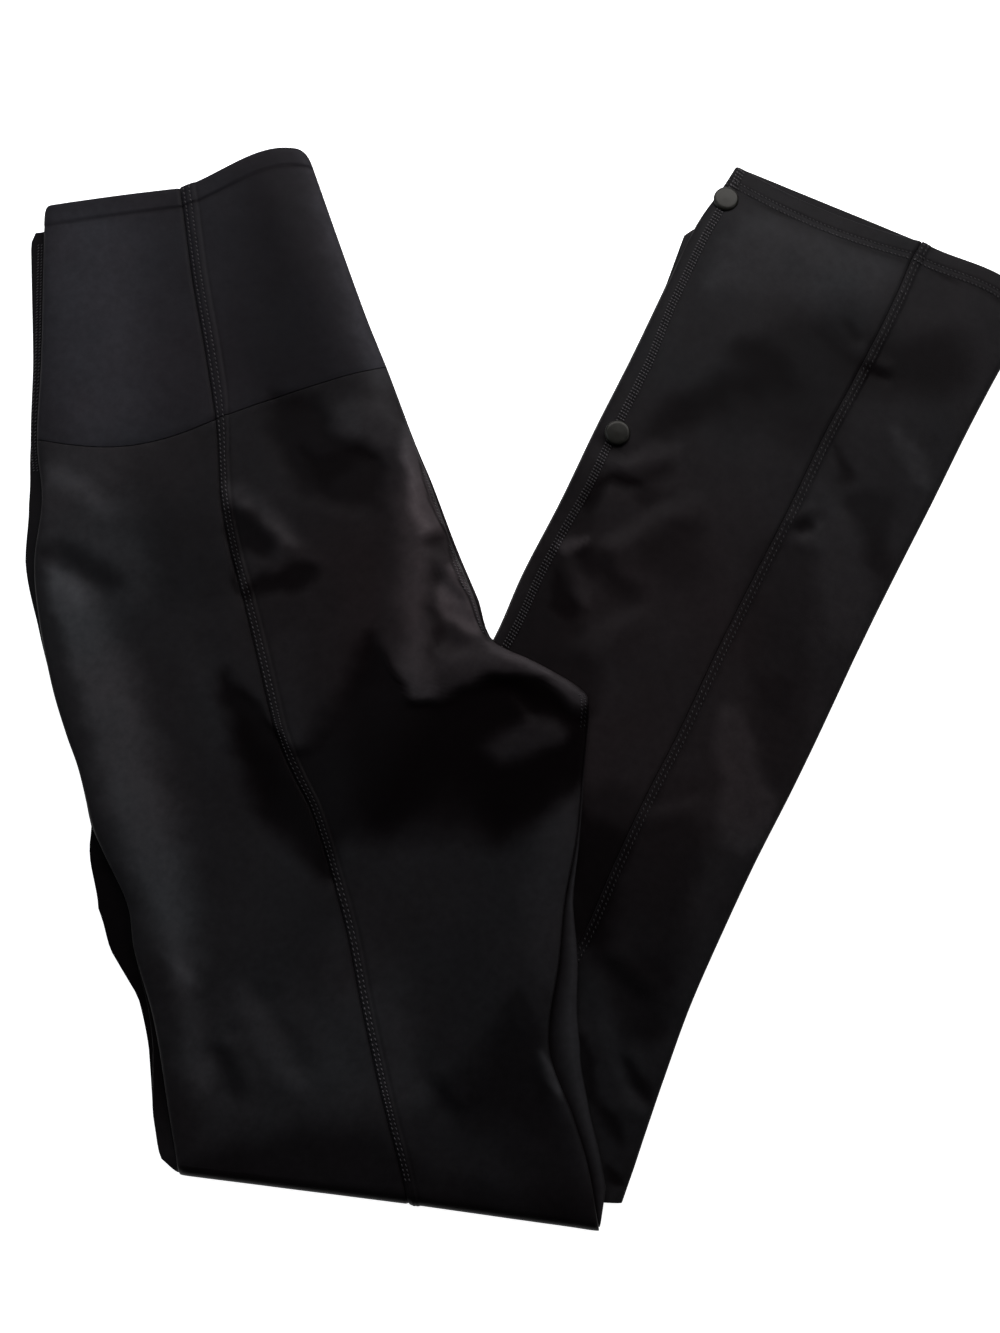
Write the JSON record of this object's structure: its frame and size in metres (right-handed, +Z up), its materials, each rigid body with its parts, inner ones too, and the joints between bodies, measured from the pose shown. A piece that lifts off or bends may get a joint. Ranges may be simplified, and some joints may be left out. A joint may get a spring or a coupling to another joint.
{
  "type": "folded leggings",
  "caption": "Plain high-waisted leggings folded lengthwise and once more at the knee, lying flat, with a wide waistband, mid seams, turned hem and press-stud caps.",
  "frame": {"origin": "centre of the footprint on the surface that the leggings lie on", "axes": "+Z up from the surface, +Y away from the knee fold towards the waist and hem, +X towards the side where the lower legs come out"},
  "size_m": [0.5178, 0.5378, 0.0135],
  "materials": {
    "legging_knit": "smooth fine knit with a soft satin sheen",
    "waistband_knit": "smooth firm knit, satin",
    "stud_metal": "dark gunmetal, satin"
  },
  "bodies": {
    "root": {"waistband_side": "waistband_knit", "waistband_center": "waistband_knit", "thigh_side": "legging_knit", "thigh_center": "legging_knit", "thigh_under": "legging_knit", "shin_side": "legging_knit", "shin_center": "legging_knit", "shin_under": "legging_knit", "snap_cap_hem": "stud_metal", "snap_cap_calf": "stud_metal"}
  },
  "joints": []
}
